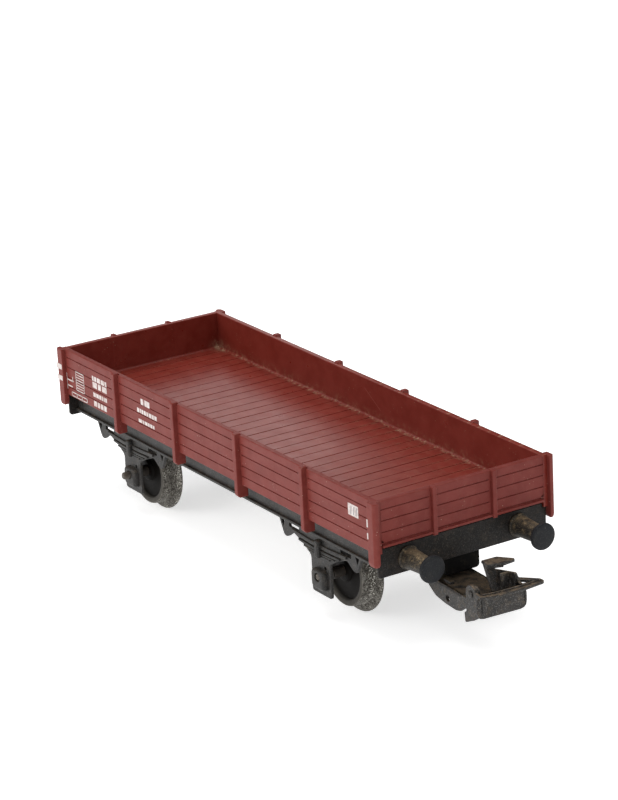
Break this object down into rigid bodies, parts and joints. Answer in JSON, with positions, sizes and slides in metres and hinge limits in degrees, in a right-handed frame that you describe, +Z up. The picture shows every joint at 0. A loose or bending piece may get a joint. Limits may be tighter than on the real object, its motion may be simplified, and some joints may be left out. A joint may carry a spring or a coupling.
{
  "type": "model goods wagon",
  "caption": "Two-axle open goods wagon with low planked sides, stakes, buffers and sprung loop couplers, in 1:87 model scale.",
  "frame": {"origin": "on the floor under the middle of the wagon, at the lowest point of the wheel flanges", "axes": "+X along the wagon towards its front coupler, +Y to its left, +Z up"},
  "size_m": [0.1268, 0.0348, 0.027],
  "materials": {
    "body_red": "satin red-brown moulding, slightly worn on its edges",
    "frame_black": "dull black on folded sheet, dusty",
    "buffer_black": "dull black, dusty barrels",
    "coupler_steel": "blackened steel, dusty and worn",
    "plain_steel": "plain turned steel",
    "wheel_metal": "grey-brown cast metal with a speckled, worn tread"
  },
  "bodies": {
    "wagon": {"wagon_body": "body_red", "underframe": "frame_black", "ballast_plate": "plain_steel", "body_screw_front": "plain_steel", "body_screw_rear": "plain_steel", "buffer_front_a": "buffer_black", "buffer_front_b": "buffer_black", "buffer_rear_a": "buffer_black", "buffer_rear_b": "buffer_black", "coupler_bracket_front": "coupler_steel", "coupler_bracket_rear": "coupler_steel", "coupler_pivot_rivet_front": "coupler_steel", "coupler_pivot_rivet_rear": "coupler_steel"},
    "wheelset_front": {"axle_front": "plain_steel", "wheel_front_right": "wheel_metal", "wheel_front_left": "wheel_metal"},
    "wheelset_rear": {"axle_rear": "plain_steel", "wheel_rear_right": "wheel_metal", "wheel_rear_left": "wheel_metal"},
    "drawbar_front": {"drawbar_front": "coupler_steel", "coupler_hook_front": "coupler_steel", "coupler_spring_front": "coupler_steel", "bow_rivet_front_a": "coupler_steel", "bow_rivet_front_b": "coupler_steel"},
    "bow_front": {"coupler_bow_front": "coupler_steel"},
    "drawbar_rear": {"drawbar_rear": "coupler_steel", "coupler_hook_rear": "coupler_steel", "coupler_spring_rear": "coupler_steel", "bow_rivet_rear_a": "coupler_steel", "bow_rivet_rear_b": "coupler_steel"},
    "bow_rear": {"coupler_bow_rear": "coupler_steel"}
  },
  "joints": [
    {"name": "wheelset_front_spin", "type": "hinge", "parent": "wagon", "child": "wheelset_front", "pos_m": [0.0308, 0, 0.0076], "axis": [0, 1, 0], "continuous": true},
    {"name": "wheelset_rear_spin", "type": "hinge", "parent": "wagon", "child": "wheelset_rear", "pos_m": [-0.0308, 0, 0.0076], "axis": [0, 1, 0], "continuous": true},
    {"name": "drawbar_front_swing", "type": "hinge", "parent": "wagon", "child": "drawbar_front", "pos_m": [0.042, 0, 0.00975], "axis": [0, 0, 1], "range_deg": [-6.8, 13.2], "stiffness_Nm_per_rad": 0.0002},
    {"name": "bow_front_lift", "type": "hinge", "parent": "drawbar_front", "child": "bow_front", "pos_m": [0.05957, -0.00098, 0.01125], "axis": [-0.0558, -0.9984, 0], "range_deg": [0, 35]},
    {"name": "drawbar_rear_swing", "type": "hinge", "parent": "wagon", "child": "drawbar_rear", "pos_m": [-0.042, 0, 0.00975], "axis": [0, 0, 1], "range_deg": [-10, 10], "stiffness_Nm_per_rad": 0.0002},
    {"name": "bow_rear_lift", "type": "hinge", "parent": "drawbar_rear", "child": "bow_rear", "pos_m": [-0.0596, 0, 0.01125], "axis": [0, 1, 0], "range_deg": [0, 35]}
  ]
}
